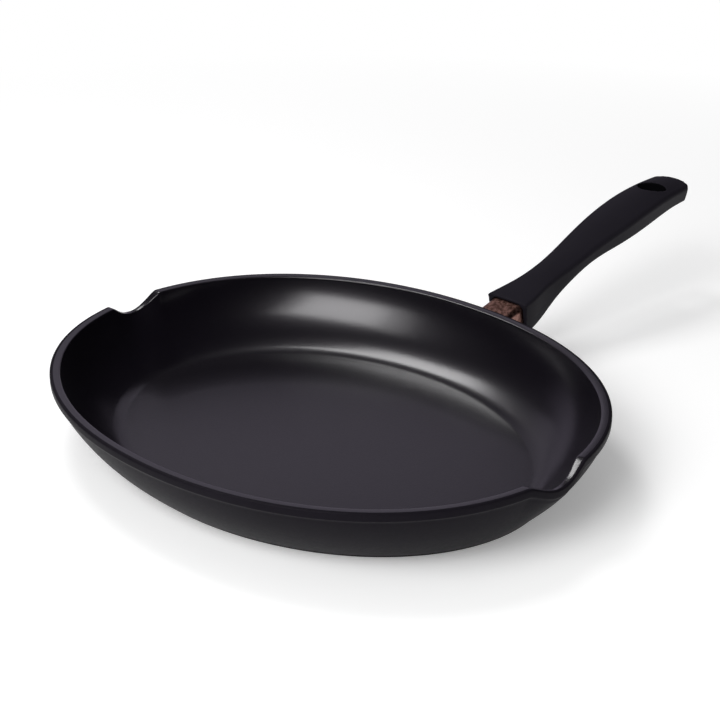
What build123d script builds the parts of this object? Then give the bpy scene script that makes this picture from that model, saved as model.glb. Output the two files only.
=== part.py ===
from build123d import *
import os
from math import asin, cos, degrees, pi, radians, sin

# Oval fish pan in millimetres. The base stands on z = 0, +X is the long axis with a pouring lip at
# each end, and +Y points along the handle.

# Rim outline: four tangent arcs, the narrow ones at the ends. The other outlines lie inside it.
RIM_LENGTH = 360.0
RIM_WIDTH = 296.0
BLEND_ANGLE = radians(63.2)   # from the long axis to where an end arc meets a side arc
BASE_INSET = 30.3
FLOOR_INSET = 39.5

# Upright sizes and wall
PAN_HEIGHT = 46.0
FLOOR_THICKNESS = 4.7
WALL = 4.0
WALL_BULGE = 3.0         # how far the wall bows out of the straight line from base to bead
BASE_EDGE_WIDTH = 4.0
BASE_EDGE_RISE = 1.8

# Rim bead
LIP_WIDTH = 6.6
BEAD_HEIGHT = 5.0
BEAD_STEP = 1.0
LIP_EDGE = 1.0
NECK_STEP = 1.7          # the bead stands out this far over the wall below it

# Pouring lips
SPOUT_WIDTH = 42.0
SPOUT_DIP = 8.0
SPOUT_FLARE = 0.8
SPOUT_LIP_WIDTH = 4.4
SPOUT_FULLNESS = 1.2     # above 1 the shoulders soften and the channel narrows
SPOUT_SECTIONS = 7

# Underside: rings turned into the base, which keep it flat
GROOVE_COUNT = 1
GROOVE_WIDTH = 1.6
GROOVE_DEPTH = 0.4
GROOVE_PITCH = 20.0
GROOVE_MARGIN = 12.0

# Handle joint: its axis leaves the front face of the handle and rises away from the pan
JOINT_TILT = radians(9)
JOINT_DROP = 13.0        # from the rim down to the axis, at the handle's front
HANDLE_STANDOFF = 26.0   # from the rim to the front of the handle
HANDLE_LENGTH = 188.4
POCKET_DEPTH = 3.0

# Boss, threaded insert and flame guard
BOSS_WIDTH = 18.0
BOSS_HEIGHT = 11.0
BOSS_RADIUS = 3.0
INSERT_DIAMETER = 7.5
INSERT_LENGTH = 12.0
GUARD_WIDTH = 25.6
GUARD_HEIGHT = 19.0
GUARD_RADIUS = 4.0
GUARD_WALL = 1.2

# Screw and washers
SCREW_DIAMETER = 5.0
SCREW_LENGTH = 35.0
SCREW_HEAD_DIAMETER = 9.5
SCREW_HEAD_HEIGHT = 3.6
SCREW_HEAD_BEVEL = 1.2
DRIVE_WIDTH = 1.2
DRIVE_LENGTH = 5.2
DRIVE_DEPTH = 2.0
HEAD_SEAT = 26.0         # from the front face of the handle, along the joint axis
FLAT_WASHER_DIAMETER = 10.0
FLAT_WASHER_THICKNESS = 1.0
SPRING_WASHER_DIAMETER = 9.2
SPRING_WASHER_THICKNESS = 1.3
SPRING_WASHER_SPLIT = 1.0

# Handle stations from the pan to the tip: share of the length, half width, upper and lower side edge
# over the joint axis, crown of the top, lower width over upper, radius of the upper side edge
HANDLE_STATIONS = [
    (-0.053, 17.4, 10.0, -14.2, 0.7, 0.92, 1.6),
    (0.048, 15.4, 12.7, -11.3, 1.0, 0.89, 1.9),
    (0.133, 12.9, 15.8, -7.2, 1.6, 0.83, 2.3),
    (0.207, 12.2, 18.8, 0.4, 2.2, 0.78, 2.7),
    (0.292, 12.8, 22.9, 8.6, 2.5, 0.75, 3.1),
    (0.414, 14.8, 30.2, 17.6, 2.6, 0.72, 3.2),
    (0.573, 17.7, 38.3, 23.3, 2.7, 0.72, 3.2),
    (0.743, 18.3, 45.1, 29.0, 2.7, 0.72, 3.2),
    (0.902, 17.2, 48.3, 34.4, 2.5, 0.72, 3.0),
    (1.062, 15.8, 48.8, 35.8, 2.4, 0.72, 3.0),
]
HANDLE_LOW_EDGE = 3.4
HANDLE_LOW_CROWN = 1.4
EDGE_FACETS = 2          # flats that stand for each rounded edge
TIP_HALF_WIDTH = 16.8
TIP_CORNER = 7.0
TIP_BOW = 2.6

# Hang hole: a round side towards the pan and a flatter side towards the tip
HANG_HOLE_HALF_WIDTH = 12.0
HANG_HOLE_INSET = 24.4   # from the handle's end
HANG_HOLE_NEAR = 9.7
HANG_HOLE_FAR = 5.5
HANG_HOLE_CORNER = 2.5

# Clearances
SEAT_GAP = 0.3           # flame guard to wall, pocket and boss
INSERT_FIT = 0.05
THREAD_FIT = 0.1
SCREW_CLEARANCE = 0.5
HEAD_CLEARANCE = 0.6

RING_DEPTH = 12.0        # the wall ring reaches this far under the floor

# Arcs of the rim outline: radius and centre of the right-hand end arc and of the side arc towards +Y
BLEND_SHARE = (1 - sin(BLEND_ANGLE)) / cos(BLEND_ANGLE)
END_RADIUS = (RIM_WIDTH - RIM_LENGTH * BLEND_SHARE) / 2 / (1 - BLEND_SHARE)
END_CENTRE = (RIM_LENGTH / 2 - END_RADIUS, 0)
SIDE_RADIUS = END_RADIUS + END_CENTRE[0] / cos(BLEND_ANGLE)
SIDE_CENTRE = (0, RIM_WIDTH / 2 - SIDE_RADIUS)
SPOUT_ANGLE = asin(SPOUT_WIDTH / 2 / END_RADIUS)

# Handle joint
HANDLE_FRONT = RIM_WIDTH / 2 + HANDLE_STANDOFF
HANDLE_END = HANDLE_FRONT + HANDLE_LENGTH
JOINT_HEIGHT = PAN_HEIGHT - JOINT_DROP


def oval_face(inset):
    """Flat oval on z = 0, drawn in from the rim"""
    blend = degrees(BLEND_ANGLE)
    end = CenterArc(END_CENTRE, END_RADIUS - inset, -blend, 2 * blend)
    side = CenterArc(SIDE_CENTRE, SIDE_RADIUS - inset, blend, 180 - 2 * blend)
    return make_face([end, side, mirror(end, Plane.YZ), mirror(side, Plane.XZ)])


def spout_share(angle):
    """1 in the middle of a pouring lip, falling smoothly to 0 at its shoulders"""
    across = END_RADIUS * sin(angle) / (SPOUT_WIDTH / 2)
    return max(0.0, 1 - across**2) ** SPOUT_FULLNESS


def section_plane(centre, angle):
    """Upright plane through an arc's centre: its x runs outwards and its y runs up"""
    return Plane(origin=(*centre, 0), x_dir=(cos(angle), sin(angle), 0), z_dir=(sin(angle), -cos(angle), 0))


def sweep_arc(section, centre, start, end):
    """Section in the upright plane carried round an arc's centre from one angle to another"""
    face = section_plane(centre, start) * make_face(section)
    return revolve(face, Axis((*centre, 0), (0, 0, 1)), degrees(end - start))


def outer_wall(reach, top, grow=0.0):
    """Foot, middle, neck and outward normal of the outer wall, where the rim lies at reach"""
    foot = Vector(reach - BASE_INSET + grow, BASE_EDGE_RISE)
    neck = Vector(reach - NECK_STEP + grow, top - BEAD_HEIGHT)
    run = (neck - foot).normalized()
    normal = Vector(run.Y, -run.X)
    middle = (foot + neck) * 0.5 + normal * WALL_BULGE
    return foot, middle, neck, normal


def wall_section(reach, share=0.0):
    """Closed outline of wall, bead and base edge, with its share of the pouring lip"""
    foot, _, _, _ = outer_wall(reach, PAN_HEIGHT)
    floor = reach - FLOOR_INSET
    rim = reach + SPOUT_FLARE * share
    top = PAN_HEIGHT - SPOUT_DIP * share
    lip = LIP_WIDTH + (SPOUT_LIP_WIDTH - LIP_WIDTH) * share
    _, middle, neck, normal = outer_wall(rim, top)
    middle -= Vector(SPOUT_FLARE * share / 2, 0)
    core = floor - RING_DEPTH
    bead = top - BEAD_HEIGHT + BEAD_STEP
    return [
        Line((core, 0), (foot.X - BASE_EDGE_WIDTH, 0)),
        Line((foot.X - BASE_EDGE_WIDTH, 0), foot),
        ThreePointArc(foot, middle, neck),
        Line(neck, (rim, bead)),
        Line((rim, bead), (rim, top - LIP_EDGE)),
        Line((rim, top - LIP_EDGE), (rim - LIP_EDGE, top)),
        Line((rim - LIP_EDGE, top), (rim - lip + LIP_EDGE, top)),
        Line((rim - lip + LIP_EDGE, top), (rim - lip, top - LIP_EDGE)),
        ThreePointArc((rim - lip, top - LIP_EDGE), middle - normal * WALL, (floor, FLOOR_THICKNESS)),
        Line((floor, FLOOR_THICKNESS), (core, FLOOR_THICKNESS)),
        Line((core, FLOOR_THICKNESS), (core, 0)),
    ]


def make_spout():
    """Sector of the wall with the right-hand pouring lip"""
    sections = []
    for i in range(SPOUT_SECTIONS):
        angle = SPOUT_ANGLE * (2 * i / (SPOUT_SECTIONS - 1) - 1)
        face = make_face(wall_section(END_RADIUS, spout_share(angle)))
        sections.append(section_plane(END_CENTRE, angle) * face)
    return loft(sections)


def make_wall():
    """Wall ring: two sides, four shoulders and two pouring lips"""
    side = sweep_arc(wall_section(SIDE_RADIUS), SIDE_CENTRE, BLEND_ANGLE, pi - BLEND_ANGLE)
    shoulder = sweep_arc(wall_section(END_RADIUS), END_CENTRE, SPOUT_ANGLE, BLEND_ANGLE)
    end = shoulder + mirror(shoulder, Plane.XZ) + make_spout()
    return side + mirror(side, Plane.XZ) + end + mirror(end, Plane.YZ)


def wall_sector(grow):
    """Filled sector of the pan behind the handle joint, its outer wall moved outwards by grow"""
    foot, middle, neck, _ = outer_wall(SIDE_RADIUS, PAN_HEIGHT, grow)
    rim = Vector(neck.X + NECK_STEP, PAN_HEIGHT - BEAD_HEIGHT + BEAD_STEP)
    core = foot.X / 2
    outline = [
        Line((core, -1), (foot.X, -1)),
        Line((foot.X, -1), foot),
        ThreePointArc(foot, middle, neck),
        Line(neck, rim),
        Line(rim, (rim.X, PAN_HEIGHT + 1)),
        Line((rim.X, PAN_HEIGHT + 1), (core, PAN_HEIGHT + 1)),
        Line((core, PAN_HEIGHT + 1), (core, -1)),
    ]
    half = asin(GUARD_WIDTH / SIDE_RADIUS)
    return sweep_arc(outline, SIDE_CENTRE, pi / 2 - half, pi / 2 + half)


def joint_plane(distance):
    """Plane square to the joint axis, at a distance from the handle's front face"""
    front = Plane(
        origin=(0, HANDLE_FRONT, JOINT_HEIGHT),
        x_dir=(-1, 0, 0),
        z_dir=(0, cos(JOINT_TILT), sin(JOINT_TILT)),
    )
    return front.offset(distance)


def joint_cylinder(diameter, start, end):
    """Round bar or bore on the joint axis"""
    return extrude(joint_plane(start) * Circle(diameter / 2), end - start)


def joint_ring(outer, inner, start, end):
    """Round ring on the joint axis"""
    return joint_cylinder(outer, start, end) - joint_cylinder(inner, start, end)


def make_base_grooves():
    grooves = []
    for i in range(GROOVE_COUNT):
        inset = BASE_INSET + BASE_EDGE_WIDTH + GROOVE_MARGIN + i * GROOVE_PITCH
        ring = oval_face(inset) - oval_face(inset + GROOVE_WIDTH)
        grooves.append(extrude(ring, GROOVE_DEPTH))
    return grooves


def make_boss():
    """Cast boss that carries the handle, bored for the threaded insert"""
    profile = RectangleRounded(BOSS_WIDTH, BOSS_HEIGHT, BOSS_RADIUS)
    boss = extrude(joint_plane(POCKET_DEPTH) * profile, -2 * HANDLE_STANDOFF)
    boss -= wall_sector(-WALL / 2)
    bore_depth = INSERT_LENGTH + SCREW_DIAMETER / 2
    return boss - joint_cylinder(INSERT_DIAMETER + 2 * INSERT_FIT, POCKET_DEPTH - bore_depth, POCKET_DEPTH)


def make_pan_body():
    slab = extrude(oval_face(FLOOR_INSET + RING_DEPTH / 2), FLOOR_THICKNESS)
    return make_wall() + slab + make_boss() - make_base_grooves()


def guard_bar(inset):
    """Sleeve's outline carried from the pocket's floor into the pan's wall"""
    outline = RectangleRounded(GUARD_WIDTH - 2 * inset, GUARD_HEIGHT - 2 * inset, GUARD_RADIUS - inset)
    return extrude(joint_plane(POCKET_DEPTH - SEAT_GAP) * outline, -2 * HANDLE_STANDOFF)


def make_flame_guard():
    return guard_bar(0) - guard_bar(GUARD_WALL) - wall_sector(SEAT_GAP)


def make_thread_insert():
    start = POCKET_DEPTH - INSERT_LENGTH
    return joint_ring(INSERT_DIAMETER, SCREW_DIAMETER + 2 * THREAD_FIT, start, POCKET_DEPTH)


def make_flat_washer():
    end = HEAD_SEAT + FLAT_WASHER_THICKNESS
    return joint_ring(FLAT_WASHER_DIAMETER, SCREW_DIAMETER + SCREW_CLEARANCE, HEAD_SEAT, end)


def make_spring_washer():
    start = HEAD_SEAT + FLAT_WASHER_THICKNESS
    end = start + SPRING_WASHER_THICKNESS
    ring = joint_ring(SPRING_WASHER_DIAMETER, SCREW_DIAMETER + SCREW_CLEARANCE, start, end)
    slot = Box(SPRING_WASHER_SPLIT, SPRING_WASHER_DIAMETER, 4 * SPRING_WASHER_THICKNESS)
    slot = Pos(0, SPRING_WASHER_DIAMETER / 2, 0) * Rot(0, 25, 0) * slot
    return ring - joint_plane((start + end) / 2) * slot


def make_handle_screw():
    """Bevelled head with a cross recess, on a plain bar for the thread"""
    under_head = HEAD_SEAT + FLAT_WASHER_THICKNESS + SPRING_WASHER_THICKNESS
    top = under_head + SCREW_HEAD_HEIGHT
    head = joint_cylinder(SCREW_HEAD_DIAMETER, under_head, top)
    head = chamfer(head.edges().sort_by(Axis((0, 0, 0), joint_plane(0).z_dir))[-1], SCREW_HEAD_BEVEL)
    for turn in (0, 90):
        blade = Rot(0, 0, turn) * Box(DRIVE_LENGTH, DRIVE_WIDTH, 2 * DRIVE_DEPTH)
        head -= joint_plane(top) * blade
    shank = joint_cylinder(SCREW_DIAMETER, under_head - SCREW_LENGTH, under_head)
    return head + shank


def edge_points(centre, radius, start):
    """Points round a quarter of an edge, downwards from an angle in degrees"""
    angles = [radians(start - 90 * i / EDGE_FACETS) for i in range(EDGE_FACETS + 1)]
    return [(centre[0] + radius * cos(a), centre[1] + radius * sin(a)) for a in angles]


def handle_section(station):
    """Crowned top, sides drawn in towards a narrower underside, and eased edges"""
    share, half, upper, lower, crown, taper, edge = station
    shoulder = JOINT_HEIGHT + upper + crown * edge / half
    low = JOINT_HEIGHT + lower
    low_half = half * taper
    right = [(0, JOINT_HEIGHT + upper + crown)]
    right += edge_points((half - edge, shoulder - edge), edge, 90)
    right += edge_points((low_half - HANDLE_LOW_EDGE, low + HANDLE_LOW_EDGE), HANDLE_LOW_EDGE, 0)
    left = [(-x, y) for x, y in reversed(right[1:])]
    face = make_face(Polyline(right + [(0, low - HANDLE_LOW_CROWN)] + left, close=True))
    distance = HANDLE_FRONT + share * HANDLE_LENGTH
    return Plane(origin=(0, distance, 0), x_dir=(1, 0, 0), z_dir=(0, -1, 0)) * face


def handle_plan():
    """Outline of the handle's end from above, with soft corners"""
    wide = 2 * max(station[1] for station in HANDLE_STATIONS)
    near = HANDLE_FRONT - HANDLE_STANDOFF
    shoulder = HANDLE_END - HANG_HOLE_INSET
    side = HANDLE_END - TIP_BOW
    outline = [
        Line((-wide, near), (wide, near)),
        Line((wide, near), (wide, shoulder)),
        Line((wide, shoulder), (TIP_HALF_WIDTH, shoulder)),
        Line((TIP_HALF_WIDTH, shoulder), (TIP_HALF_WIDTH, side)),
        ThreePointArc((TIP_HALF_WIDTH, side), (0, HANDLE_END), (-TIP_HALF_WIDTH, side)),
        Line((-TIP_HALF_WIDTH, side), (-TIP_HALF_WIDTH, shoulder)),
        Line((-TIP_HALF_WIDTH, shoulder), (-wide, shoulder)),
        Line((-wide, shoulder), (-wide, near)),
    ]
    face = make_face(outline)
    return fillet(face.vertices().group_by(Axis.Y)[-1], TIP_CORNER)


def hang_hole():
    """Opening through the tip"""
    half = HANG_HOLE_HALF_WIDTH
    centre = HANDLE_END - HANG_HOLE_INSET
    near = ThreePointArc((-half, centre), (0, centre - HANG_HOLE_NEAR), (half, centre))
    far = ThreePointArc((half, centre), (0, centre + HANG_HOLE_FAR), (-half, centre))
    face = make_face([near, far])
    face = fillet(face.vertices(), HANG_HOLE_CORNER)
    return extrude(face, HANDLE_LENGTH)


def make_handle_grip():
    grip = loft([handle_section(station) for station in HANDLE_STATIONS])
    grip &= extrude(handle_plan(), HANDLE_LENGTH)
    grip = split(grip, joint_plane(0), keep=Keep.TOP)
    grip -= hang_hole()
    pocket = RectangleRounded(GUARD_WIDTH + 2 * SEAT_GAP, GUARD_HEIGHT + 2 * SEAT_GAP, GUARD_RADIUS + SEAT_GAP)
    grip -= extrude(joint_plane(-POCKET_DEPTH) * pocket, 2 * POCKET_DEPTH)
    grip -= joint_cylinder(SCREW_DIAMETER + SCREW_CLEARANCE, 0, HEAD_SEAT)
    head_bore = max(FLAT_WASHER_DIAMETER, SCREW_HEAD_DIAMETER) + HEAD_CLEARANCE
    return grip - joint_cylinder(head_bore, HEAD_SEAT, HANDLE_LENGTH)


def main():
    os.makedirs("parts", exist_ok=True)
    pieces = {
        "pan_body": make_pan_body(),
        "flame_guard": make_flame_guard(),
        "thread_insert": make_thread_insert(),
        "handle_grip": make_handle_grip(),
        "handle_screw": make_handle_screw(),
        "spring_washer": make_spring_washer(),
        "flat_washer": make_flat_washer(),
    }
    for name, piece in pieces.items():
        piece.label = name
        export_step(piece, f"parts/{name}.step")
        print(name, len(piece.solids()), round(piece.volume, 1), piece.is_valid)


main()
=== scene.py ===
from math import cos, pi, radians, sin, tan

import bmesh
import bpy
import numpy as np
from mathutils import Matrix, Vector


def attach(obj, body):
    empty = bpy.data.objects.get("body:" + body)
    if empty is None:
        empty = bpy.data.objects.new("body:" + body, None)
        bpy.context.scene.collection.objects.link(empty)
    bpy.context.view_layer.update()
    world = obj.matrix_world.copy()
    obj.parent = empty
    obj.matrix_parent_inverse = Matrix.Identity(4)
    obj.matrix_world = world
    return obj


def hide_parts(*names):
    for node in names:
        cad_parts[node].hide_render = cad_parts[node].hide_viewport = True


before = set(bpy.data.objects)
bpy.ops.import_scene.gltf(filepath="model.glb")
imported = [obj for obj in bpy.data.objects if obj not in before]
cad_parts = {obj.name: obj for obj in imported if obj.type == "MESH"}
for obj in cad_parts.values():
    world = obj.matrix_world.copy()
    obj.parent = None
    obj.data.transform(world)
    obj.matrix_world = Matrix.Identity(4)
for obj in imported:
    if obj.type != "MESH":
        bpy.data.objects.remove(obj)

# Looks of an oval fish pan. Sizes are in millimetres until a mesh is made, in the frame of the CAD:
# the base stands on z = 0, +X is the long axis and +Y points along the handle.
MM = 0.001

# Ovals of rim and base
RIM = (360.0, 295.8, 2.09)       # length, width, power: 2 is an ellipse
BASE = (303.0, 235.0, 1.98)
PAN_HEIGHT = 46.0
FLOOR_THICKNESS = 4.7
FLOOR_INSET = 8.6                # from the base outline to where the inner wall starts to rise
WALL = 4.0
WALL_BULGE = 3.0
BASE_EDGE = (4.0, 1.8)           # width and rise of the eased edge of the base
LIP_WIDTH = 6.6
LIP_EDGE = 1.3
LIP_INNER_EDGE = 1.0
LIP_CROWN = 0.2                  # the lip's top falls this much to its inner edge
LIP_SHOULDER = 0.2               # pull of the inner edge's curve, down the wall
BEAD_HEIGHT = 4.6
NECK = (2.2, 7.6)                # where the wall ends: inset from the rim, and drop from its top
FLOOR_BLEND = 4.0                # the floor turns into the wall over this width
WALL_STEPS = 50
FLOOR_RISE = 6                   # steps of the wall that the turn takes up
FLOOR_TURN = 0.3                 # pull of that turn's curve towards the wall
HEEL_PULL = 0.6                  # pull of the base edge's curve, inwards
BEAD_CORNER = (0.5, 0.3)         # lower outer corner of the bead: inset, and drop below the bead
BEAD_UNDERCUT = (1.5, 1.2)       # where the wall turns out under the bead: inset, and drop
BEAD_ROUND = 1.0                 # height over which the bead's lower corner is rounded
UNDERSIDE_RINGS = (0.1, 0.25)    # shares of the radius, on the underside and on the floor
FLOOR_RINGS = (0.85, 0.6, 0.35, 0.12)

# Pouring lips: pairs are for the +X end and the -X end
SPOUT_WIDTHS = (50.0, 41.0)
SPOUT_SIDES = (0.0, -3.0)        # off the long axis
SPOUT_DIPS = (7.8, 9.6)
SPOUT_FULLNESS = (1.6, 1.35)
SPOUT_FLARE = 0.7
SPOUT_LIP_WIDTH = 4.4

# Underside: turned rings
GROOVE_INSETS = (16.0, 36.0, 56.0, 76.0)
GROOVE_WIDTH = 1.6
GROOVE_DEPTH = 0.4
GROOVE_SLOPE = 0.2               # width of each side of a groove

# Handle joint
JOINT_TILT = radians(9)
HANDLE_FRONT = 174.0
JOINT_HEIGHT = 33.0
POCKET_DEPTH = 3.0
BOSS = (18.0, 11.0, 3.0)         # width, height, corner radius
BOSS_SINK = 6                    # from the rim's outline to the boss's end inside the wall
INSERT_DIAMETER = 7.6
INSERT_BORE = 14                 # depth of the insert's hole
GUARD = (25.6, 19.0, 4.0)
GUARD_WALL = 1.2
GUARD_DROP = 2.4                 # the sleeve's upper side comes down this much towards the pan
GUARD_REACH = 25                 # how far inside the rim's outline the search for the wall starts
GUARD_HALVINGS = 24              # steps of that search
SEAT_GAP = 0.3
SCREW_BORE = 5.5
HEAD_BORE = 10.6
HEAD_SEAT = 26.0
CUTTER = 60                      # half size of the square cutter, and its reach
PLAN_CUT = (-20, 160)            # heights of the cutter that gives the outline from above
HOLE_CUT = (40, 120)             # heights of the hang hole's cutter
POCKET_START = -10               # the pocket's and the bore's cutters start ahead of the front
BORE_START = -5
BORE_OVERLAP = 1

# Handle stations: share of the length, half width, upper and lower side edge over the joint axis,
# crown of the top, lower width over upper, radius of the upper side edge
HANDLE_LENGTH = 188.4
HANDLE_RINGS = 230
HANDLE_STATIONS = [
    (-0.053, 17.4, 10.0, -14.2, 0.7, 0.92, 1.6),
    (0.048, 15.4, 12.7, -11.3, 1.0, 0.89, 1.9),
    (0.133, 12.9, 15.8, -7.2, 1.6, 0.83, 2.3),
    (0.207, 12.2, 18.8, 0.4, 2.2, 0.78, 2.7),
    (0.292, 12.8, 22.9, 8.6, 2.5, 0.75, 3.1),
    (0.414, 14.8, 30.2, 17.6, 2.6, 0.72, 3.2),
    (0.573, 17.7, 38.3, 23.3, 2.7, 0.72, 3.2),
    (0.743, 18.3, 45.1, 29.0, 2.7, 0.72, 3.2),
    (0.902, 17.2, 48.3, 34.4, 2.25, 0.72, 3.0),
    (1.062, 15.8, 48.6, 35.8, 2.05, 0.72, 3.0),
]
HANDLE_LOW_EDGE = 3.4
HANDLE_LOW_CROWN = 1.4
TIP_HALF_WIDTH = 16.8
TIP_CORNER = 7.0
TIP_BOW = 2.6
TIP_NUDGE = 0.9                  # moves the corners' centres out, to meet the bowed end
PLAN_MARGIN = (40, 30)           # the outline's reach beside the handle, and ahead of its front
HANG_HOLE = (12.0, 9.7, 5.5, 2.5)    # half width, towards the pan, towards the tip, corner radius
HANG_HOLE_INSET = 24.4
HANG_HOLE_SIDE = -1.8            # the photograph shows the hole a little off the middle
MOULD_VOXEL = 0.55               # mesh size of the moulding, whose edges are then softened
MOULD_SMOOTHING = 7
HOLE_WALL_TILT = 0.7             # faces whose normals rise less than this are the hole's wall
HOLE_WALL_MARGIN = (0.6, 1)      # across and along the handle

# Camera, as fitted to the photograph
CAMERA_TARGET = (-26.72, 59.02, 28.42)
CAMERA_DISTANCE = 1072.4
CAMERA_ELEVATION = radians(24.62)
CAMERA_AZIMUTH = radians(43.96)
FOCAL_PIXELS = 1683
IMAGE_PIXELS = 720
SENSOR = 36.0


# Mesh helpers

def mesh_object(name, points, faces, materials, face_materials=None):
    mesh = bpy.data.meshes.new(name)
    mesh.from_pydata([tuple(p) for p in np.asarray(points) * MM], [], faces)
    for material in materials:
        mesh.materials.append(material)
    if face_materials is not None:
        mesh.polygons.foreach_set("material_index", face_materials)
    mesh.polygons.foreach_set("use_smooth", [True] * len(faces))
    work = bmesh.new()
    work.from_mesh(mesh)
    bmesh.ops.recalc_face_normals(work, faces=work.faces)
    work.to_mesh(mesh)
    work.free()
    obj = bpy.data.objects.new(name, mesh)
    bpy.context.scene.collection.objects.link(obj)
    return obj


def ring_faces(rings, count, first=0):
    """Quads between closed rings of points that follow each other"""
    faces = []
    for r in range(rings - 1):
        low, high = first + r * count, first + (r + 1) * count
        for k in range(count):
            n = (k + 1) % count
            faces.append((low + k, low + n, high + n, high + k))
    return faces


def tube(name, rings, material):
    """Rings of points joined to each other, with both ends capped"""
    rings = np.array(rings)
    count = rings.shape[1]
    faces = ring_faces(len(rings), count)
    faces.append(tuple(range(count - 1, -1, -1)))
    faces.append(tuple(range((len(rings) - 1) * count, len(rings) * count)))
    return mesh_object(name, rings.reshape(-1, 3), faces, [material])


def sharp_by_angle(obj, angle):
    """Smooth shading apart from edges that turn by more than an angle"""
    with bpy.context.temp_override(object=obj, active_object=obj, selected_editable_objects=[obj]):
        bpy.ops.object.shade_smooth_by_angle(angle=angle)


def cut(obj, cutter, operation="DIFFERENCE"):
    """Applies a boolean with a cutter, which is then removed"""
    modifier = obj.modifiers.new("cut", "BOOLEAN")
    modifier.operation = operation
    modifier.solver = "EXACT"
    modifier.object = cutter
    depsgraph = bpy.context.evaluated_depsgraph_get()
    mesh = bpy.data.meshes.new_from_object(obj.evaluated_get(depsgraph))
    obj.modifiers.clear()
    old, obj.data = obj.data, mesh
    bpy.data.meshes.remove(old)
    bpy.data.objects.remove(cutter)


def circle_through(start, middle, end):
    """Centre and radius of the circle through three points; they may be arrays over many planes"""
    (ax, ay), (bx, by), (cx, cy) = start, middle, end
    d = 2 * (ax * (by - cy) + bx * (cy - ay) + cx * (ay - by))
    aa, bb, cc = ax * ax + ay * ay, bx * bx + by * by, cx * cx + cy * cy
    x = (aa * (by - cy) + bb * (cy - ay) + cc * (ay - by)) / d
    y = (aa * (cx - bx) + bb * (ax - cx) + cc * (bx - ax)) / d
    return x, y, np.hypot(ax - x, ay - y)


def arc_through(start, middle, end, count):
    """Points on the arc through three points"""
    x, y, radius = circle_through(start, middle, end)
    first = np.arctan2(start[1] - y, start[0] - x)
    sweep = (np.arctan2(end[1] - y, end[0] - x) - first + pi) % (2 * pi) - pi
    return [(x + radius * np.cos(first + sweep * t), y + radius * np.sin(first + sweep * t))
            for t in np.linspace(0, 1, count)]


def corner(centre, radius, start, end, count):
    """Points round part of a circle, angles in degrees"""
    angles = np.radians(np.linspace(start, end, count))
    return [(centre[0] + radius * cos(a), centre[1] + radius * sin(a)) for a in angles]


def bend(start, control, end, count):
    """Quadratic curve between two points"""
    points = []
    for t in np.linspace(0, 1, count):
        w = ((1 - t) ** 2, 2 * t * (1 - t), t * t)
        points.append(tuple(w[0] * s + w[1] * c + w[2] * e for s, c, e in zip(start, control, end)))
    return points


def rounded_rectangle(width, height, radius, steps=8):
    points = []
    for k, (sx, sy) in enumerate(((1, 1), (-1, 1), (-1, -1), (1, -1))):
        centre = (sx * (width / 2 - radius), sy * (height / 2 - radius))
        points += corner(centre, radius, 90 * k, 90 * k + 90, steps)
    return points


# Node helpers

def new_material(name):
    material = bpy.data.materials.new(name)
    material.use_nodes = True
    nodes = material.node_tree.nodes
    return material, nodes, material.node_tree.links, nodes["Principled BSDF"]


def noise(nodes, links, scale, detail=2.0, roughness=0.5, stretch=None):
    texture = nodes.new("ShaderNodeTexNoise")
    texture.inputs["Scale"].default_value = scale
    texture.inputs["Detail"].default_value = detail
    texture.inputs["Roughness"].default_value = roughness
    coordinates = nodes.new("ShaderNodeTexCoord")
    mapping = nodes.new("ShaderNodeMapping")
    mapping.inputs["Scale"].default_value = stretch or (1, 1, 1)
    links.new(coordinates.outputs["Object"], mapping.inputs["Vector"])
    links.new(mapping.outputs["Vector"], texture.inputs["Vector"])
    return texture.outputs["Fac"]


def remap(nodes, links, value, low, high, to_low, to_high):
    node = nodes.new("ShaderNodeMapRange")
    node.inputs["From Min"].default_value = low
    node.inputs["From Max"].default_value = high
    node.inputs["To Min"].default_value = to_low
    node.inputs["To Max"].default_value = to_high
    links.new(value, node.inputs["Value"])
    return node.outputs["Result"]


def blend_colours(nodes, links, factor, first, second):
    node = nodes.new("ShaderNodeMix")
    node.data_type = "RGBA"
    for name, value in (("A", first), ("B", second)):
        socket = [s for s in node.inputs if s.name == name and s.type == "RGBA"][0]
        if isinstance(value, tuple):
            socket.default_value = (*value, 1)
        else:
            links.new(value, socket)
    links.new(factor, node.inputs["Factor"])
    return [s for s in node.outputs if s.type == "RGBA"][0]


def bump(nodes, links, height, strength, distance, shader, edge=0.0):
    """Bump from a height, over edges rounded to a radius"""
    node = nodes.new("ShaderNodeBump")
    node.inputs["Strength"].default_value = strength
    node.inputs["Distance"].default_value = distance
    links.new(height, node.inputs["Height"])
    if edge:
        soft = nodes.new("ShaderNodeBevel")
        soft.samples = 6
        soft.inputs["Radius"].default_value = edge
        links.new(soft.outputs["Normal"], node.inputs["Normal"])
    links.new(node.outputs["Normal"], shader.inputs["Normal"])
    return node.outputs["Normal"]


def math_node(nodes, links, operation, first, second):
    node = nodes.new("ShaderNodeMath")
    node.operation = operation
    for socket, value in zip(node.inputs, (first, second)):
        if isinstance(value, (int, float)):
            socket.default_value = value
        else:
            links.new(value, socket)
    return node.outputs["Value"]


# Materials

COATING_TINT = (0.97, 0.92, 1.0)
COAT_ROUGHNESS = 0.17
GRAIN_DEPTH = 0.00006            # metres
MOULDING_TINT = (0.96, 0.93, 1.0)


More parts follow.
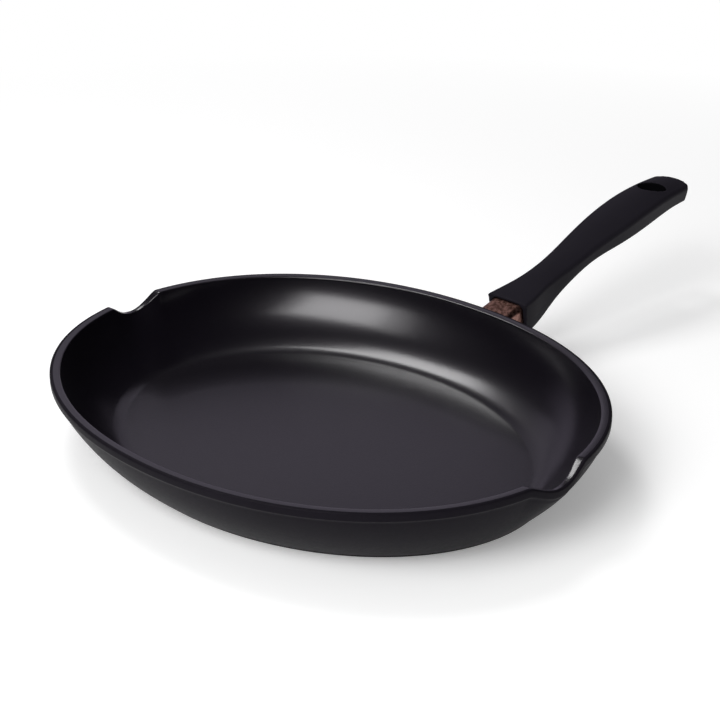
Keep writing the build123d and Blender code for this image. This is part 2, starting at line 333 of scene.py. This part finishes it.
def coating(name, dark, light, fleck, gloss, roughness, top_coat, grain_scale, grain_strength):
    """Non-stick coating: fine orange peel, faint colour drift and small flecks"""
    material, nodes, links, shader = new_material(name)
    grain = noise(nodes, links, grain_scale, 3.0, 0.6)
    drift = noise(nodes, links, 14.0, 2.0)
    mixed = blend_colours(nodes, links, remap(nodes, links, drift, 0.3, 0.7, 0.0, 1.0), dark, light)
    flecks = noise(nodes, links, 2600.0, 1.0)
    share = remap(nodes, links, flecks, 0.68, 0.8, 0.0, 1.0)
    mixed = blend_colours(nodes, links, share, mixed, fleck)
    links.new(mixed, shader.inputs["Base Color"])
    links.new(remap(nodes, links, grain, 0.3, 0.7, roughness - 0.03, roughness + 0.04),
              shader.inputs["Roughness"])
    shader.inputs["Specular Tint"].default_value = (*COATING_TINT, 1)
    shader.inputs["Specular IOR Level"].default_value = gloss
    shader.inputs["Coat Weight"].default_value = top_coat
    shader.inputs["Coat Roughness"].default_value = COAT_ROUGHNESS
    surface = bump(nodes, links, grain, grain_strength, GRAIN_DEPTH, shader)
    if top_coat:
        links.new(surface, shader.inputs["Coat Normal"])
    return material


def turned_metal(name):
    """Machined underside with fine concentric tool marks"""
    material, nodes, links, shader = new_material(name)
    coordinates = nodes.new("ShaderNodeTexCoord")
    rings = nodes.new("ShaderNodeTexWave")
    rings.wave_type = "RINGS"
    rings.rings_direction = "Z"
    rings.inputs["Scale"].default_value = 420.0
    rings.inputs["Distortion"].default_value = 0.4
    links.new(coordinates.outputs["Object"], rings.inputs["Vector"])
    stain = noise(nodes, links, 30.0, 3.0)
    mixed = blend_colours(nodes, links, stain, (0.46, 0.46, 0.47), (0.58, 0.57, 0.57))
    links.new(mixed, shader.inputs["Base Color"])
    links.new(remap(nodes, links, stain, 0.3, 0.7, 0.3, 0.42), shader.inputs["Roughness"])
    shader.inputs["Metallic"].default_value = 1.0
    bump(nodes, links, rings.outputs["Fac"], 0.3, 0.00003, shader)
    return material


def moulding(name, dark, light):
    """Soft-touch black plastic with a fine matte grain"""
    material, nodes, links, shader = new_material(name)
    grain = noise(nodes, links, 1500.0, 3.0, 0.65)
    drift = noise(nodes, links, 25.0, 2.0)
    mixed = blend_colours(nodes, links, drift, dark, light)
    links.new(mixed, shader.inputs["Base Color"])
    links.new(remap(nodes, links, grain, 0.3, 0.7, 0.4, 0.48), shader.inputs["Roughness"])
    shader.inputs["Specular Tint"].default_value = (*MOULDING_TINT, 1)
    shader.inputs["Specular IOR Level"].default_value = 0.03
    bump(nodes, links, grain, 0.25, 0.00004, shader)
    return material


def tinted_metal(name):
    """Copper-brown metal, mottled by heat"""
    material, nodes, links, shader = new_material(name)
    patches = noise(nodes, links, 430.0, 4.0, 0.65)
    fine = noise(nodes, links, 1400.0, 2.0)
    share = remap(nodes, links, patches, 0.4, 0.66, 0.0, 1.0)
    mixed = blend_colours(nodes, links, share, (0.13, 0.062, 0.047), (0.36, 0.2, 0.17))
    links.new(mixed, shader.inputs["Base Color"])
    links.new(remap(nodes, links, patches, 0.35, 0.65, 0.3, 0.46), shader.inputs["Roughness"])
    shader.inputs["Metallic"].default_value = 1.0
    bump(nodes, links, fine, 0.2, 0.00005, shader, edge=0.0006)
    return material


def plated_steel(name):
    material, nodes, links, shader = new_material(name)
    streaks = noise(nodes, links, 900.0, 2.0, 0.5, (1, 0.2, 1))
    mixed = blend_colours(nodes, links, streaks, (0.5, 0.5, 0.51), (0.62, 0.62, 0.62))
    links.new(mixed, shader.inputs["Base Color"])
    links.new(remap(nodes, links, streaks, 0.3, 0.7, 0.28, 0.4), shader.inputs["Roughness"])
    shader.inputs["Metallic"].default_value = 1.0
    bump(nodes, links, streaks, 0.15, 0.00003, shader, edge=0.0003)
    return material


# Pan

def oval(angles, shape):
    """Distance from the centre to an oval outline"""
    length, width, power = shape
    along = np.abs(np.cos(angles)) * 2 / length
    across = np.abs(np.sin(angles)) * 2 / width
    return (along**power + across**power) ** (-1 / power)


def at_end(angles, pair):
    return np.where(np.cos(angles) > 0, *pair)


def spout_share(angles):
    across = oval(angles, RIM) * np.sin(angles) - at_end(angles, SPOUT_SIDES)
    share = np.clip(1 - (across * 2 / at_end(angles, SPOUT_WIDTHS)) ** 2, 0, None)
    return share ** at_end(angles, SPOUT_FULLNESS)


def spout_dip(angles):
    return at_end(angles, SPOUT_DIPS) * spout_share(angles)


def pan_angles():
    """Angles round the pan, closer together at the pouring lips"""
    quarter = np.concatenate([np.arange(0, 14, 0.25), np.arange(14, 90, 0.5)])
    half = np.concatenate([quarter, 180 - quarter[::-1][:-1], [90.0]])
    half = np.unique(np.round(half, 6))
    return np.radians(np.concatenate([half, half + 180]))


def outer_wall(angles):
    """Foot, middle and neck of the outer wall, and the middle of the inner wall. The middles leave
    out the pouring lips, so that only the top of the wall bends out to them."""
    share = spout_share(angles)
    rim = oval(angles, RIM)
    foot = (oval(angles, BASE), np.full_like(angles, BASE_EDGE[1]))
    neck = (rim - NECK[0], np.full_like(angles, PAN_HEIGHT - NECK[1]))
    run = np.array([neck[0] - foot[0], neck[1] - foot[1]])
    run /= np.hypot(*run)
    normal = (run[1], -run[0])
    middle = tuple((f + n) / 2 + WALL_BULGE * s for f, n, s in zip(foot, neck, normal))
    inner = tuple(m - WALL * s for m, s in zip(middle, normal))
    neck = (neck[0] + SPOUT_FLARE * share, neck[1] - spout_dip(angles))
    return foot, middle, neck, inner


def wall_radius(angles, heights):
    """Distance from the centre to the outside of the pan, away from the pouring lips"""
    foot, middle, neck, _ = outer_wall(angles)
    x, y, radius = circle_through(foot, middle, neck)
    wall = x + np.sqrt(radius**2 - (heights - y) ** 2)
    return np.where(heights > neck[1], oval(angles, RIM), wall)


def pan_profile(angles):
    """Section of the pan at each angle, from under the base, round the rim, to the floor's middle.
    Gives the points as arrays over the angles, and the material of the strip after each."""
    share = spout_share(angles)
    rim = oval(angles, RIM) + SPOUT_FLARE * share
    top = PAN_HEIGHT - spout_dip(angles)
    lip = LIP_WIDTH + (SPOUT_LIP_WIDTH - LIP_WIDTH) * share
    base = oval(angles, BASE)
    level = np.zeros_like(angles)
    foot, middle, neck, inner = outer_wall(angles)

    underside = [(base * s, level) for s in UNDERSIDE_RINGS]
    for inset in sorted(GROOVE_INSETS, reverse=True):
        edge = base - inset
        start = edge - GROOVE_WIDTH
        underside += [(start, level), (start + GROOVE_SLOPE, level + GROOVE_DEPTH),
                      (edge - GROOVE_SLOPE, level + GROOVE_DEPTH), (edge, level)]
    heel = bend((base - BASE_EDGE[0], level), (base - HEEL_PULL, level), foot, 7)
    outside = arc_through(foot, middle, neck, 26)
    bead = top - BEAD_HEIGHT
    bead_low = (rim - BEAD_CORNER[0], bead - BEAD_CORNER[1])
    ledge = bend(neck, (rim - BEAD_UNDERCUT[0], bead - BEAD_UNDERCUT[1]), bead_low, 6)
    side = bend(bead_low, (rim, bead), (rim, bead + BEAD_ROUND), 4)
    outer_edge = bend((rim, top - LIP_EDGE), (rim, top), (rim - LIP_EDGE, top), 8)
    inside = top - LIP_CROWN
    crown = bend((rim - LIP_EDGE, top), (rim - lip / 2, top), (rim - lip + LIP_INNER_EDGE, inside), 6)
    corner_low = (rim - lip, inside - LIP_INNER_EDGE)
    inner_edge = bend(crown[-1], (rim - lip, inside - LIP_SHOULDER), corner_low, 8)
    floor = base - FLOOR_INSET
    deck = level + FLOOR_THICKNESS
    wall = arc_through(corner_low, inner, (floor, deck), WALL_STEPS)
    rise = wall[-FLOOR_RISE]
    blend = bend(rise, (floor + FLOOR_TURN, deck), (floor - FLOOR_BLEND, deck), 14)
    plate = [((floor - FLOOR_BLEND) * s, deck) for s in FLOOR_RINGS]

    strips = [(underside, 2), (heel, 1), (outside[1:], 1), (ledge[1:], 1), (side[1:], 1),
              (outer_edge, 1), (crown[1:], 0), (inner_edge[1:], 0), (wall[1:-FLOOR_RISE], 0),
              (blend, 0), (plate, 0)]
    points, slots = [], []
    for strip, slot in strips:
        points += strip
        slots += [slot] * len(strip)
    return points, slots


def boss_tube(first):
    """Boss with its bore: points, and faces numbered from first"""
    outer = rounded_rectangle(*BOSS)
    bore = []
    for x, y in outer:
        length = (x * x + y * y) ** 0.5
        bore.append((x / length * INSERT_DIAMETER / 2, y / length * INSERT_DIAMETER / 2))
    far, mouth = -HANDLE_FRONT + RIM[1] / 2 - BOSS_SINK, POCKET_DEPTH
    rings = [(outer, far), (outer, mouth), (bore, mouth), (bore, mouth - INSERT_BORE)]
    points = [joint_point(x, y, distance) for outline, distance in rings for x, y in outline]
    count = len(outer)
    last = first + (len(rings) - 1) * count
    caps = [tuple(range(first + count - 1, first - 1, -1)), tuple(range(last, last + count))]
    return points, ring_faces(len(rings), count, first) + caps


def make_pan(interior, exterior, underside):
    angles = pan_angles()
    profile, slots = pan_profile(angles)
    count = len(angles)
    points = []
    for radius, height in profile:
        points.append(np.stack([radius * np.cos(angles), radius * np.sin(angles), height], axis=-1))
    faces = ring_faces(len(profile), count)
    face_slots = [slot for slot in slots[:-1] for _ in range(count)]
    points = [p for ring in points for p in ring]
    last = (len(profile) - 1) * count
    faces.append(tuple(range(count - 1, -1, -1)))
    faces.append(tuple(range(last, last + count)))
    face_slots += [2, 0]
    boss_points, boss_faces = boss_tube(len(points))
    points += boss_points
    faces += boss_faces
    face_slots += [1] * len(boss_faces)
    pan = mesh_object("pan_shell", points, faces, [interior, exterior, underside], face_slots)
    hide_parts("pan_body")
    return pan


# Handle joint

def joint_point(x, y, distance):
    """Point across, up and along the joint axis, from the middle of the handle's front"""
    c, s = cos(JOINT_TILT), sin(JOINT_TILT)
    return (-x, HANDLE_FRONT + distance * c - y * s, JOINT_HEIGHT + distance * s + y * c)


def guard_drop(height, distance):
    """The sleeve's upper side comes down towards the pan"""
    mouth = POCKET_DEPTH - SEAT_GAP
    length = HANDLE_FRONT - RIM[1] / 2
    return GUARD_DROP * np.clip(height / (GUARD[1] / 2), 0, 1) * (mouth - distance) / length


def joint_points(x, y, distance):
    return np.stack(joint_point(x, y - guard_drop(y, distance), distance), axis=-1)


def guard_start(x, y):
    """Where the sleeve meets the wall, along the joint axis, less the clearance"""
    near = np.full_like(x, -HANDLE_FRONT + RIM[1] / 2 - GUARD_REACH)
    far = np.full_like(x, POCKET_DEPTH)
    for _ in range(GUARD_HALVINGS):
        distance = (near + far) / 2
        points = joint_points(x, y, distance)
        reach = np.hypot(points[:, 0], points[:, 1])
        wall = wall_radius(np.arctan2(points[:, 1], points[:, 0]), points[:, 2])
        clear = reach - wall > SEAT_GAP
        far = np.where(clear, distance, far)
        near = np.where(clear, near, distance)
    return far


def guard_rings(inset, shares):
    """Rings of the sleeve: share 0 at the wall, 1 at the mouth in the handle's pocket"""
    width, height, radius = GUARD
    outline = rounded_rectangle(width - 2 * inset, height - 2 * inset, radius - inset, 12)
    x, y = np.array(outline).T
    start = guard_start(x, y)
    return [joint_points(x, y, start + (POCKET_DEPTH - SEAT_GAP - start) * s) for s in shares]


def make_guard(material):
    shares = np.linspace(0, 1, 9)
    rings = guard_rings(0, shares) + guard_rings(GUARD_WALL, shares[::-1])
    rings = np.array(rings + rings[:1])
    count = rings.shape[1]
    guard = mesh_object("guard_sleeve", rings.reshape(-1, 3), ring_faces(len(rings), count), [material])
    sharp_by_angle(guard, radians(40))
    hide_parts("flame_guard")
    return guard


# Handle

def natural_spline(x, y, at):
    """Values of the natural cubic spline through the points"""
    n = len(x)
    h = np.diff(x)
    system = np.eye(n)
    right = np.zeros((n, y.shape[1]))
    for i in range(1, n - 1):
        system[i, i - 1:i + 2] = h[i - 1], 2 * (h[i - 1] + h[i]), h[i]
        right[i] = 6 * ((y[i + 1] - y[i]) / h[i] - (y[i] - y[i - 1]) / h[i - 1])
    second = np.linalg.solve(system, right)
    i = np.clip(np.searchsorted(x, at) - 1, 0, n - 2)
    a = ((x[i + 1] - at) / h[i])[:, None]
    b = 1 - a
    bend_part = ((a**3 - a) * second[i] + (b**3 - b) * second[i + 1]) * (h[i] ** 2 / 6)[:, None]
    return a * y[i] + b * y[i + 1] + bend_part


def eased(corner_point, before, after, radius, count):
    """Points round a corner eased to a radius, between the directions to its two neighbours"""
    c = np.array(corner_point)
    u, v = (np.array(p) - c for p in (before, after))
    u, v = u / np.hypot(*u), v / np.hypot(*v)
    half = np.arccos(np.clip(u @ v, -1, 1)) / 2
    centre = c + (u + v) / np.hypot(*(u + v)) * radius / sin(half)
    start, end = (c + w * radius / tan(half) - centre for w in (u, v))
    first = np.arctan2(start[1], start[0])
    sweep = (np.arctan2(end[1], end[0]) - first + pi) % (2 * pi) - pi
    angles = first + sweep * np.linspace(0, 1, count)
    return [(centre[0] + radius * cos(a), centre[1] + radius * sin(a)) for a in angles]


def handle_section(station):
    """Half outline from the middle of the top to the middle of the underside, then mirrored"""
    share, half, upper, lower, crown, taper, edge = station
    low_half = half * taper
    slope = 2 * crown / half
    top = eased((half, upper), (half - 1, upper + slope), (low_half, lower), edge, 10)
    low = eased((low_half, lower), (half, upper), (0, lower - HANDLE_LOW_CROWN), HANDLE_LOW_EDGE, 10)
    reach = top[0][0]
    right = [(reach * t, upper + crown * (1 - (reach * t / half) ** 2))
             for t in np.linspace(0, 1, 9)[:-1]]
    right += top
    right += [tuple(np.array(top[-1]) * (1 - t) + np.array(low[0]) * t) for t in (0.2, 0.4, 0.6, 0.8)]
    right += low
    end = (0, lower - HANDLE_LOW_CROWN)
    right += [tuple(np.array(low[-1]) * (1 - t) + np.array(end) * t) for t in (0.33, 0.67)]
    left = [(-x, z) for x, z in reversed(right[1:])]
    y = HANDLE_FRONT + share * HANDLE_LENGTH
    return [(x, y, JOINT_HEIGHT + z) for x, z in right + [end] + left]


def joint_bar(name, outline, start, end):
    """Cutter along the joint axis"""
    rings = [[joint_point(x, y, d) for x, y in outline] for d in (start, end)]
    return tube(name, rings[::-1], None)


def upright_bar(name, outline, low, high):
    """Cutter along z"""
    rings = [[(x, y, z) for x, y in outline] for z in (low, high)]
    return tube(name, rings, None)


def circle(diameter, count=64):
    return corner((0, 0), diameter / 2, 0, 360 - 360 / count, count)


def plan_outline():
    """Handle's end from above: straight sides, soft corners, slightly bowed end"""
    end = HANDLE_FRONT + HANDLE_LENGTH
    side, radius = TIP_HALF_WIDTH, TIP_CORNER
    shoulder = end - HANG_HOLE_INSET
    beside, ahead = PLAN_MARGIN
    right = [(beside, HANDLE_FRONT - ahead), (beside, shoulder), (side, shoulder)]
    right += corner((side - radius, end - TIP_BOW - radius + TIP_NUDGE), radius, 0, 80, 14)
    bow = [(x, end - TIP_BOW * (x / side) ** 2) for x in np.linspace(side - radius - 1, 0, 8)]
    right += bow
    return right + [(-x, y) for x, y in reversed(right[:-1])]


def hole_outline():
    half, near, far, radius = HANG_HOLE
    centre = HANDLE_FRONT + HANDLE_LENGTH - HANG_HOLE_INSET
    near_arc = arc_through((-half, 0.0), (0.0, -near), (half, 0.0), 49)
    far_arc = arc_through((half, 0.0), (0.0, far), (-half, 0.0), 49)
    right = eased((half, 0.0), near_arc[-4], far_arc[3], radius, 12)
    keep = right[0][0]
    low = [p for p in near_arc if abs(p[0]) < keep - 0.2]
    high = [p for p in far_arc if abs(p[0]) < right[-1][0] - 0.2]
    left = [(-x, y) for x, y in reversed(right)]
    return [(x + HANG_HOLE_SIDE, y + centre) for x, y in low + right + high + left]


def soften(obj):
    """Even mesh whose sharp edges are rounded, as those of a moulding are"""
    remesh = obj.modifiers.new("remesh", "REMESH")
    remesh.mode = "VOXEL"
    remesh.voxel_size = MOULD_VOXEL * MM
    remesh.use_smooth_shade = True
    smooth = obj.modifiers.new("smooth", "SMOOTH")
    smooth.factor = 0.6
    smooth.iterations = MOULD_SMOOTHING
    depsgraph = bpy.context.evaluated_depsgraph_get()
    mesh = bpy.data.meshes.new_from_object(obj.evaluated_get(depsgraph))
    obj.modifiers.clear()
    obj.data = mesh


def in_hang_hole(centre, normal):
    """Whether a face of the handle is on the wall of the hang hole"""
    x, y, _ = centre / MM
    half, near, far, _ = HANG_HOLE
    y -= HANDLE_FRONT + HANDLE_LENGTH - HANG_HOLE_INSET
    across, along = HOLE_WALL_MARGIN
    inside = abs(x - HANG_HOLE_SIDE) < half + across and -near - along < y < far + along
    return abs(normal.z) < HOLE_WALL_TILT and inside


def make_handle(material, hole_material):
    stations = np.array(HANDLE_STATIONS)
    shares = np.linspace(stations[0, 0], stations[-1, 0], HANDLE_RINGS)
    values = natural_spline(stations[:, 0], stations[:, 1:], shares)
    rings = [handle_section((s, *v)) for s, v in zip(shares, values)]
    handle = tube("handle_shell", rings, material)
    width, height, radius = GUARD
    pocket = rounded_rectangle(width + 2 * SEAT_GAP, height + 2 * SEAT_GAP, radius + SEAT_GAP, 12)
    square = [(CUTTER, CUTTER), (-CUTTER, CUTTER), (-CUTTER, -CUTTER), (CUTTER, -CUTTER)]
    cut(handle, upright_bar("plan", plan_outline(), *PLAN_CUT), "INTERSECT")
    cut(handle, joint_bar("front", square, -CUTTER, 0))
    cut(handle, upright_bar("hole", hole_outline(), *HOLE_CUT))
    cut(handle, joint_bar("pocket", pocket, POCKET_START, POCKET_DEPTH))
    cut(handle, joint_bar("screw_bore", circle(SCREW_BORE), BORE_START, HEAD_SEAT + BORE_OVERLAP))
    cut(handle, joint_bar("head_bore", circle(HEAD_BORE), HEAD_SEAT, HANDLE_LENGTH))
    soften(handle)
    handle.data.materials.clear()
    handle.data.materials.append(material)
    handle.data.materials.append(hole_material)
    for face in handle.data.polygons:
        face.material_index = 1 if in_hang_hole(face.center, face.normal) else 0
    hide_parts("handle_grip")
    return handle


# Stage

FLOOR_LIFT = 0.23                # extra white of the floor, for the camera and reflections only
FLOOR_FADE = (0.4, 0.95)         # metres from the pan between which the floor turns white
FLOOR_SIZE = 6000
WORLD_COLOUR = (0.3, 0.3, 0.3)   # fill on diffuse surfaces
SURROUND_COLOUR = (0.004, 0.0038, 0.0045)    # the dim room in reflections
BACKDROP_COLOUR = (0.3, 0.27, 0.34)
BACKDROP_AZIMUTH = radians(150)
BACKDROP_FADE = (0.3, 0.46)      # heights of direction between which the backdrop ends
BACKDROP_SPREAD = (0.7, 0.89)

WHITE = (1.0, 1.0, 1.0)
DIM_VIOLET = (1.0, 0.92, 1.12)

# Softboxes: azimuth and elevation in degrees seen from the pan, distance, width and height in
# metres, radiance, colour
LIGHTS = {
    "key_edge": (-84.5, 41.5, 1.6, 1.4, 1.1, 1.9, WHITE),
    "key_core": (-83.5, 41.5, 1.58, 0.9, 0.85, 4.4, WHITE),
    "back_left": (169.0, 58.0, 1.6, 0.5, 0.52, 8.0, WHITE),
    "backdrop": (147.0, 30.5, 1.9, 1.5, 0.36, 0.32, DIM_VIOLET),
}


def stage_material():
    """White floor that keeps the shadow near the object and fades into the white background"""
    material, nodes, links, shader = new_material("floor_paper")
    shader.inputs["Base Color"].default_value = (0.93, 0.93, 0.93, 1)
    shader.inputs["Roughness"].default_value = 0.9
    shader.inputs["Specular IOR Level"].default_value = 0.0
    geometry = nodes.new("ShaderNodeNewGeometry")
    length = nodes.new("ShaderNodeVectorMath")
    length.operation = "LENGTH"
    links.new(geometry.outputs["Position"], length.inputs[0])
    far = remap(nodes, links, length.outputs["Value"], *FLOOR_FADE, 0.0, 1.0)
    path = nodes.new("ShaderNodeLightPath")
    mirrored = math_node(nodes, links, "MAXIMUM", path.outputs["Is Glossy Ray"],
                         path.outputs["Is Transmission Ray"])
    seen = math_node(nodes, links, "MAXIMUM", path.outputs["Is Camera Ray"], mirrored)
    white = nodes.new("ShaderNodeEmission")
    white.inputs["Color"].default_value = (*WHITE, 1)
    lift = nodes.new("ShaderNodeEmission")
    links.new(math_node(nodes, links, "MULTIPLY", seen, FLOOR_LIFT), lift.inputs["Strength"])
    lifted = nodes.new("ShaderNodeAddShader")
    links.new(shader.outputs["BSDF"], lifted.inputs[0])
    links.new(lift.outputs["Emission"], lifted.inputs[1])
    mixed = nodes.new("ShaderNodeMixShader")
    links.new(math_node(nodes, links, "MULTIPLY", seen, far), mixed.inputs["Fac"])
    links.new(lifted.outputs["Shader"], mixed.inputs[1])
    links.new(white.outputs["Emission"], mixed.inputs[2])
    links.new(mixed.outputs["Shader"], nodes["Material Output"].inputs["Surface"])
    return material


def make_floor():
    size = FLOOR_SIZE
    points = [(-size, -size, 0), (size, -size, 0), (size, size, 0), (-size, size, 0)]
    floor = mesh_object("floor", points, [(0, 1, 2, 3)], [stage_material()])


def make_world():
    """Soft fill, dim in reflections apart from a pale backdrop low behind the object, and white to
    the camera"""
    world = bpy.data.worlds.new("surround")
    bpy.context.scene.world = world
    world.use_nodes = True
    nodes, links = world.node_tree.nodes, world.node_tree.links
    nodes.clear()
    coordinates = nodes.new("ShaderNodeTexCoord")
    split = nodes.new("ShaderNodeSeparateXYZ")
    links.new(coordinates.outputs["Generated"], split.inputs["Vector"])
    low = remap(nodes, links, split.outputs["Z"], *BACKDROP_FADE, 1.0, 0.0)
    behind = nodes.new("ShaderNodeVectorMath")
    behind.operation = "DOT_PRODUCT"
    behind.inputs[1].default_value = (cos(BACKDROP_AZIMUTH), sin(BACKDROP_AZIMUTH), 0)
    links.new(coordinates.outputs["Generated"], behind.inputs[0])
    facing = remap(nodes, links, behind.outputs["Value"], *BACKDROP_SPREAD, 0.0, 1.0)
    path = nodes.new("ShaderNodeLightPath")
    mirrored = math_node(nodes, links, "MAXIMUM", path.outputs["Is Glossy Ray"],
                         path.outputs["Is Transmission Ray"])
    backdrop = math_node(nodes, links, "MULTIPLY", low, facing)
    reflected = blend_colours(nodes, links, backdrop, SURROUND_COLOUR, BACKDROP_COLOUR)
    levels = blend_colours(nodes, links, mirrored, WORLD_COLOUR, reflected)
    shown = blend_colours(nodes, links, path.outputs["Is Camera Ray"], levels, WHITE)
    background = nodes.new("ShaderNodeBackground")
    links.new(shown, background.inputs["Color"])
    output = nodes.new("ShaderNodeOutputWorld")
    links.new(background.outputs["Background"], output.inputs["Surface"])


def make_light(name, azimuth, elevation, distance, width, height, radiance, colour):
    lamp = bpy.data.lights.new(name, "AREA")
    lamp.shape = "RECTANGLE"
    lamp.size = width
    lamp.size_y = height
    lamp.energy = radiance * width * height * pi
    lamp.color = colour
    light = bpy.data.objects.new(name, lamp)
    a, e = radians(azimuth), radians(elevation)
    direction = Vector((cos(a) * cos(e), sin(a) * cos(e), sin(e)))
    light.location = direction * distance
    light.rotation_euler = direction.to_track_quat("Z", "Y").to_euler()
    light.visible_camera = False
    bpy.context.scene.collection.objects.link(light)


def make_camera():
    a, e = CAMERA_AZIMUTH, CAMERA_ELEVATION
    back = Vector((sin(a) * cos(e), -cos(a) * cos(e), sin(e)))
    right = Vector((cos(a), sin(a), 0))
    up = back.cross(right)
    data = bpy.data.cameras.new("camera")
    data.sensor_width = SENSOR
    data.lens = FOCAL_PIXELS / IMAGE_PIXELS * SENSOR
    data.clip_end = 50
    camera = bpy.data.objects.new("camera", data)
    place = (Vector(CAMERA_TARGET) + back * CAMERA_DISTANCE) * MM
    camera.matrix_world = Matrix.Translation(place) @ Matrix((right, up, back)).transposed().to_4x4()
    bpy.context.scene.collection.objects.link(camera)
    bpy.context.scene.camera = camera


def main():
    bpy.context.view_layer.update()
    bpy.context.scene.view_settings.view_transform = "Standard"
    make_camera()
    make_world()
    make_floor()
    for name, values in LIGHTS.items():
        make_light(name, *values)

    interior = coating("coating_inside", dark=(0.003, 0.0022, 0.0042), light=(0.0042, 0.0031, 0.0057),
                       fleck=(0.014, 0.012, 0.018), gloss=0.32, roughness=0.33, top_coat=0.85,
                       grain_scale=900.0, grain_strength=0.62)
    exterior = coating("coating_outside", dark=(0.0072, 0.0061, 0.0088), light=(0.0098, 0.0084, 0.0117),
                       fleck=(0.022, 0.02, 0.026), gloss=0.04, roughness=0.45, top_coat=0.0,
                       grain_scale=500.0, grain_strength=0.3)
    soft = moulding("soft_moulding", (0.0125, 0.0111, 0.0152), (0.0165, 0.0148, 0.0198))
    shaded = moulding("moulding_in_shade", (0.002, 0.0019, 0.0024), (0.003, 0.0028, 0.0035))
    steel = plated_steel("plated_steel")
    pieces = {
        "coated_casting": make_pan(interior, exterior, turned_metal("turned_base")),
        "guard_metal": make_guard(tinted_metal("tinted_guard")),
        "grip": make_handle(soft, shaded),
    }
    for slot, piece in pieces.items():
        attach(piece, "root")
    for node in ("thread_insert", "handle_screw", "spring_washer", "flat_washer"):
        node_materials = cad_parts[node].data.materials
        node_materials.clear()
        node_materials.append(steel)


main()
